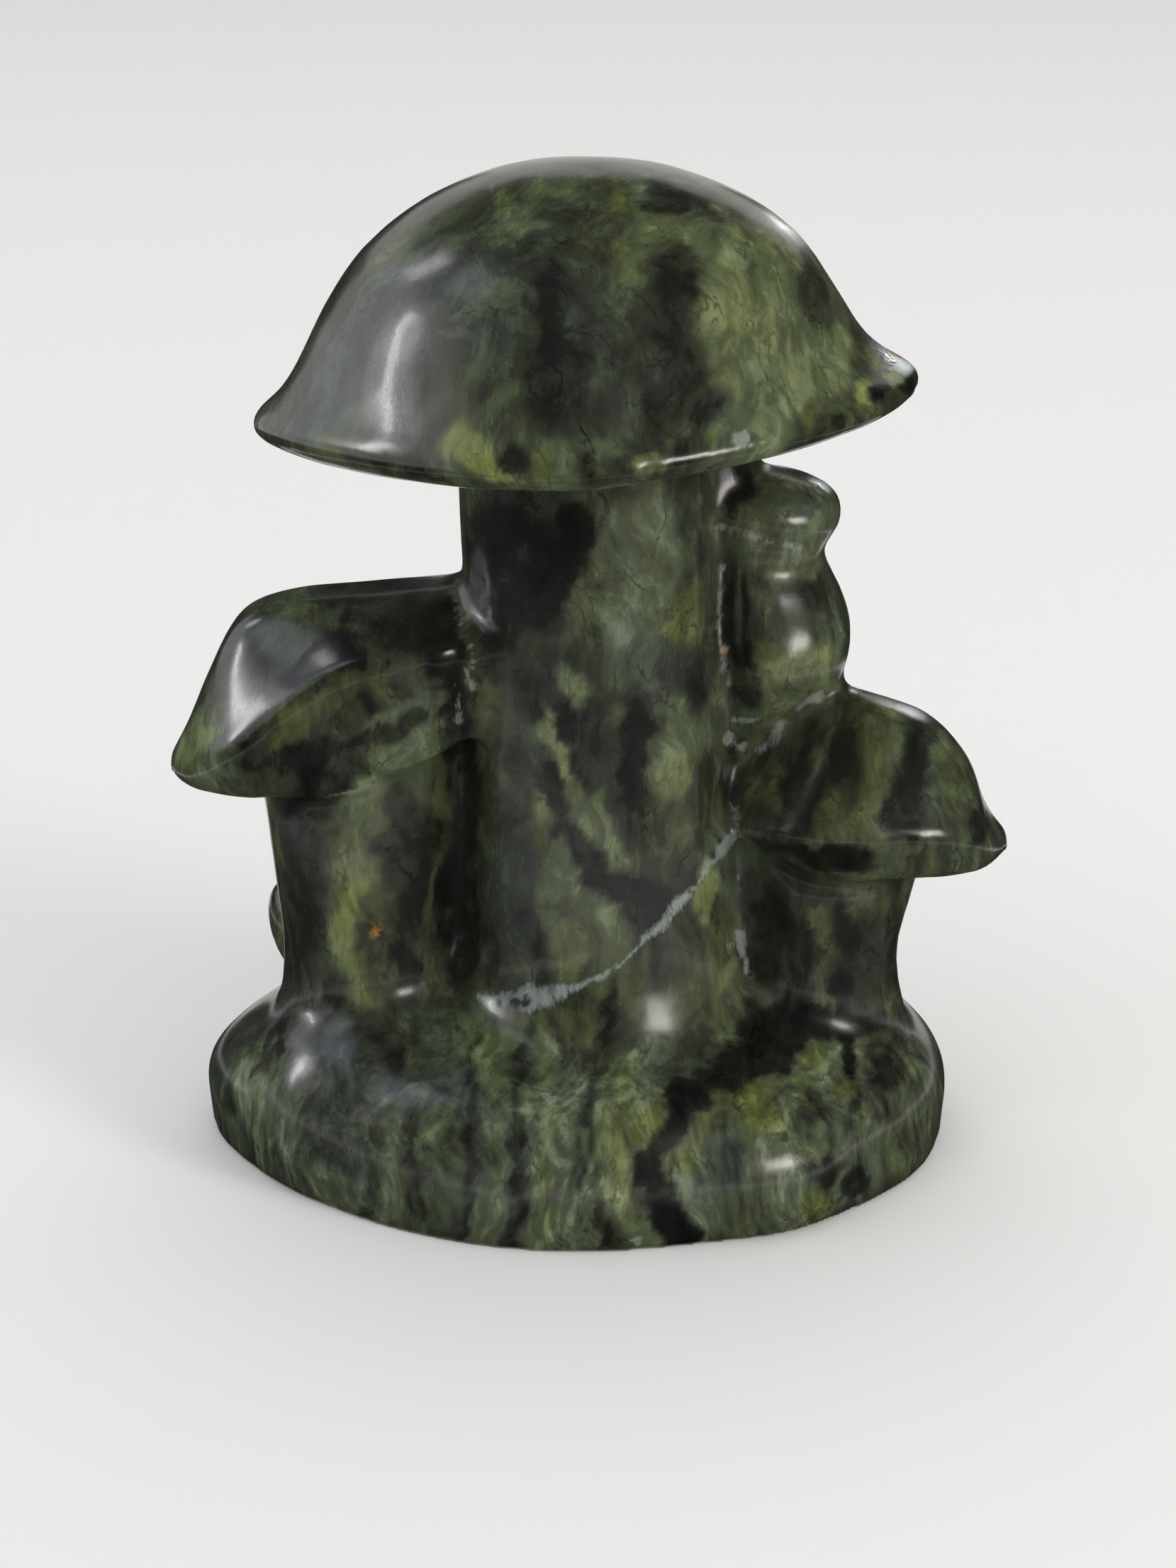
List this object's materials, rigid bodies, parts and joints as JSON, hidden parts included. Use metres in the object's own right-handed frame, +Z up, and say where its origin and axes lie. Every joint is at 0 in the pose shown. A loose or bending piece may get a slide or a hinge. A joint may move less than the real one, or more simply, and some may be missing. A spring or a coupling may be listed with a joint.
{
  "type": "stone mushroom carving",
  "caption": "Dark green jade carving of a mushroom group on a rounded base, with a snail climbing beside the tall stem.",
  "frame": {"origin": "on the flat sawn underside, below the tall stem", "axes": "+Z up through the tall stem, +X to the side of the snail, +Y to the plainer far side"},
  "size_m": [0.0829, 0.0532, 0.0994],
  "materials": {
    "jade": "polished"
  },
  "bodies": {
    "root": {"mushroom_carving": "jade"}
  },
  "joints": []
}
